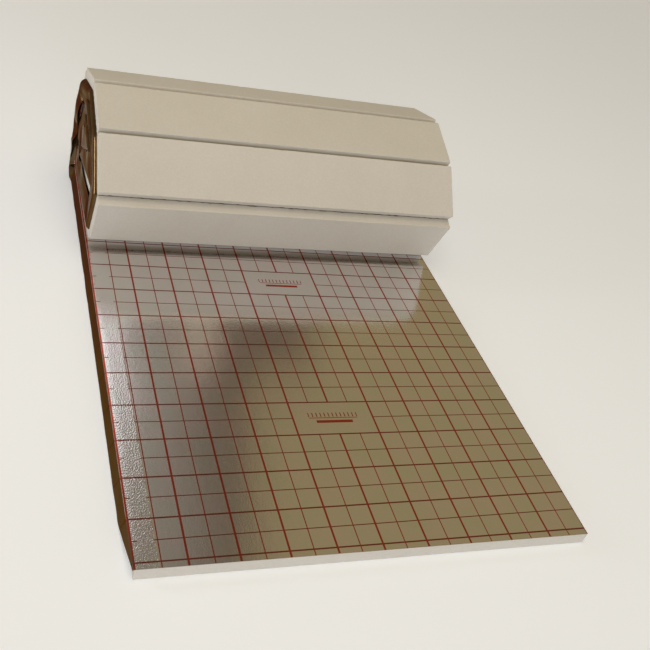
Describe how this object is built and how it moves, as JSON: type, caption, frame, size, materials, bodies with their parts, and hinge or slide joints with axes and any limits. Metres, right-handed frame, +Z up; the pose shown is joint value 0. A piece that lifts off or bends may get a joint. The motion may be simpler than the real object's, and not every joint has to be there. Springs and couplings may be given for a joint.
{
  "type": "foil-faced polystyrene insulation roll",
  "caption": "White polystyrene floor insulation sawn into slats under a metallised foil with a printed grid and an overlap flap, laid flat at the front and rolled up at the back.",
  "frame": {"origin": "middle of the box of the whole part, on the floor under it", "axes": "+X across the board to the right, +Y along the board from its cut front edge to the roll, +Z up"},
  "size_m": [1.0366, 1.4718, 0.3855],
  "materials": {
    "polystyrene": "white expanded beads, hot-wire and saw cut faces, matt with a slight sparkle",
    "foil": "bronze-toned metallised film, glossy and slightly wavy, with a red printed grid"
  },
  "bodies": {
    "root": {"slat_01": "polystyrene", "slat_02": "polystyrene", "slat_03": "polystyrene", "slat_04": "polystyrene", "slat_05": "polystyrene", "slat_06": "polystyrene", "slat_07": "polystyrene", "slat_08": "polystyrene", "slat_09": "polystyrene", "slat_10": "polystyrene", "slat_11": "polystyrene", "slat_12": "polystyrene", "slat_13": "polystyrene", "slat_14": "polystyrene", "slat_15": "polystyrene", "slat_16": "polystyrene", "slat_17": "polystyrene", "slat_18": "polystyrene", "slat_19": "polystyrene", "slat_20": "polystyrene", "slat_21": "polystyrene", "slat_22": "polystyrene", "slat_23": "polystyrene", "slat_24": "polystyrene", "slat_25": "polystyrene", "slat_26": "polystyrene", "slat_27": "polystyrene", "foil_facing": "foil"}
  },
  "joints": []
}
